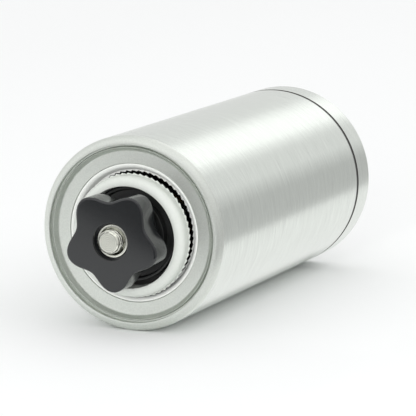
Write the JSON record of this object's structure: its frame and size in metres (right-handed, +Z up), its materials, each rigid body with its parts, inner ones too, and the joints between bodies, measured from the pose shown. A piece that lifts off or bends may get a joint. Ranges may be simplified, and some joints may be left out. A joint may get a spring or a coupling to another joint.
{
  "type": "hand coffee mill",
  "caption": "Slim steel hand coffee mill lying on its side: tube body, ceramic burrs, star adjusting knob, pull-off lid and crank drive end.",
  "frame": {"origin": "under the middle of the lying mill, on the surface it lies on", "axes": "+Y along the mill axis towards the lid, +Z up, +X to the right as seen from the burr end"},
  "size_m": [0.048, 0.1208, 0.048],
  "materials": {
    "brushed_tube": "stainless steel, brushed round the tube",
    "pressed_plate": "stainless sheet, pressed and satin finished",
    "white_ceramic": "white sintered ceramic, matt",
    "black_moulding": "black nylon moulding, slightly satin",
    "gloss_black_plastic": "black phenolic moulding, semi-gloss",
    "bright_steel": "turned stainless steel",
    "spring_steel": "drawn spring wire and stamped clip",
    "silicone": "grey silicone rubber",
    "bronze": "sintered bronze",
    "white_nylon": "natural nylon"
  },
  "bodies": {
    "mill_body": {"body_tube": "brushed_tube", "burr_plate": "pressed_plate", "burr_housing": "black_moulding", "outer_burr": "white_ceramic", "burr_gasket": "silicone", "bearing_spider": "black_moulding", "spindle_bush": "bronze", "spider_screws": "bright_steel"},
    "spindle": {"drive_shaft": "bright_steel", "thrust_washer": "bright_steel", "retaining_clip": "spring_steel", "spring_washer": "bright_steel", "burr_spring": "spring_steel"},
    "burr_carrier": {"inner_burr": "white_ceramic", "burr_core": "black_moulding"},
    "knob": {"adjusting_knob": "gloss_black_plastic", "knob_insert": "bright_steel"},
    "lid": {"lid_cap": "brushed_tube", "lid_liner": "black_moulding", "lid_seal": "silicone", "lid_bush": "white_nylon"}
  },
  "joints": [
    {"name": "spindle_spin", "type": "hinge", "parent": "mill_body", "child": "spindle", "pos_m": [0, 0, 0.024], "axis": [0, 1, 0], "continuous": true},
    {"name": "burr_travel", "type": "slide", "parent": "spindle", "child": "burr_carrier", "axis": [0, -1, 0], "range_m": [-0.0004, 0.0016], "deforming": ["burr_spring"]},
    {"name": "knob_turn", "type": "hinge", "parent": "burr_carrier", "child": "knob", "pos_m": [0, -0.053, 0.024], "axis": [0, -1, 0], "range_deg": [-144, 576]},
    {"name": "lid_pull", "type": "slide", "parent": "mill_body", "child": "lid", "axis": [0, 1, 0], "range_m": [0, 0.03]}
  ],
  "couplings": [
    {"joint": "knob_turn", "follows": "burr_travel", "rad_per_m": 6283.2}
  ]
}
